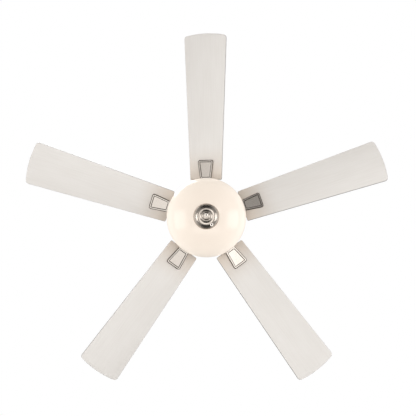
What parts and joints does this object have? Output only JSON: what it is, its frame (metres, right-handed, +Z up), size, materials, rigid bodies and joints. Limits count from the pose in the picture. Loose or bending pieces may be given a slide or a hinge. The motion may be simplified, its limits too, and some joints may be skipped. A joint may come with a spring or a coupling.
{
  "type": "ceiling fan",
  "caption": "Downrod ceiling fan with pitched, tapered blades on framed irons, an opal glass bowl light and two pull chains.",
  "frame": {"origin": "on the fan's axis, in the plane of the ceiling, midway between the two ceiling-box screws", "axes": "+Z up along the fan's axis, +X along the line of the two ceiling-box screws, the first blade along +Y"},
  "size_m": [1.2834, 1.2284, 0.503],
  "materials": {
    "brushed_nickel": "brushed",
    "blade_laminate": "satin",
    "opal_glass": "frosted",
    "lamp_glass": "frosted",
    "zinc_steel": "satin",
    "screw_steel": "satin",
    "ground_green": "gloss",
    "black_nylon": "matte",
    "cast_aluminium": "cast",
    "motor_laminations": "matte",
    "copper_winding": "gloss",
    "bearing_steel": "polished",
    "white_enamel": "gloss",
    "porcelain": "gloss",
    "felt_gasket": "matte"
  },
  "bodies": {
    "ceiling_mount": {"hanger_bracket": "zinc_steel", "canopy": "brushed_nickel", "canopy_screws": "screw_steel", "ground_screw": "ground_green"},
    "fan_frame": {"hanger_ball": "black_nylon", "hanger_pin": "screw_steel", "downrod": "brushed_nickel", "motor_yoke": "zinc_steel", "clevis_pin": "screw_steel", "hairpin_clip": "screw_steel", "set_screws": "screw_steel", "coupling_cover": "brushed_nickel", "motor_housing": "brushed_nickel", "housing_screws": "screw_steel", "motor_shaft": "bearing_steel", "bearing_inner_races": "bearing_steel", "stator_core": "motor_laminations", "stator_windings": "copper_winding", "switch_plate": "zinc_steel", "switch_plate_nut": "zinc_steel", "switch_housing": "brushed_nickel", "kit_screws": "screw_steel", "fan_switch": "black_nylon", "light_switch": "black_nylon", "capacitor": "black_nylon", "reverse_switch": "black_nylon", "light_pan": "white_enamel", "center_stem": "zinc_steel", "stem_nuts": "zinc_steel", "lamp_bracket": "zinc_steel", "lamp_holders": "porcelain", "lamps": "lamp_glass", "glass_bowl": "opal_glass", "bowl_gasket": "felt_gasket", "bowl_cap": "brushed_nickel", "finial": "brushed_nickel", "chain_ferrule": "brushed_nickel"},
    "rotor": {"rotor_bearings": "bearing_steel", "rotor_top_cover": "cast_aluminium", "rotor_bottom_cover": "cast_aluminium", "rotor_ring": "motor_laminations", "rotor_screws": "screw_steel", "iron_screws": "screw_steel", "blade_screws": "screw_steel", "blade_washers": "black_nylon", "blade_1": "blade_laminate", "blade_2": "blade_laminate", "blade_3": "blade_laminate", "blade_4": "blade_laminate", "blade_5": "blade_laminate", "blade_iron_1": "brushed_nickel", "blade_iron_2": "brushed_nickel", "blade_iron_3": "brushed_nickel", "blade_iron_4": "brushed_nickel", "blade_iron_5": "brushed_nickel"},
    "light_chain": {"light_chain": "brushed_nickel", "light_fob": "brushed_nickel"},
    "fan_chain": {"fan_chain": "brushed_nickel", "fan_fob": "brushed_nickel"},
    "reverse_slider": {"reverse_slider": "black_nylon"}
  },
  "joints": [
    {"name": "hanger_swing", "type": "hinge", "parent": "ceiling_mount", "child": "fan_frame", "pos_m": [0, 0, -0.03], "axis": [1, 0, 0], "range_deg": [-3, 3]},
    {"name": "rotor_spin", "type": "hinge", "parent": "fan_frame", "child": "rotor", "pos_m": [0, 0, -0.227], "axis": [0, 0, 1], "continuous": true},
    {"name": "light_pull", "type": "slide", "parent": "fan_frame", "child": "light_chain", "axis": [0, 0, -1], "range_m": [0, 0.01], "stiffness_N_per_m": 200, "springref_m": -0.002},
    {"name": "fan_pull", "type": "slide", "parent": "fan_frame", "child": "fan_chain", "axis": [0, 0, -1], "range_m": [0, 0.01], "stiffness_N_per_m": 200, "springref_m": -0.002},
    {"name": "reverse_slide", "type": "slide", "parent": "fan_frame", "child": "reverse_slider", "axis": [1, 0, 0], "range_m": [-0.003, 0.003]}
  ]
}
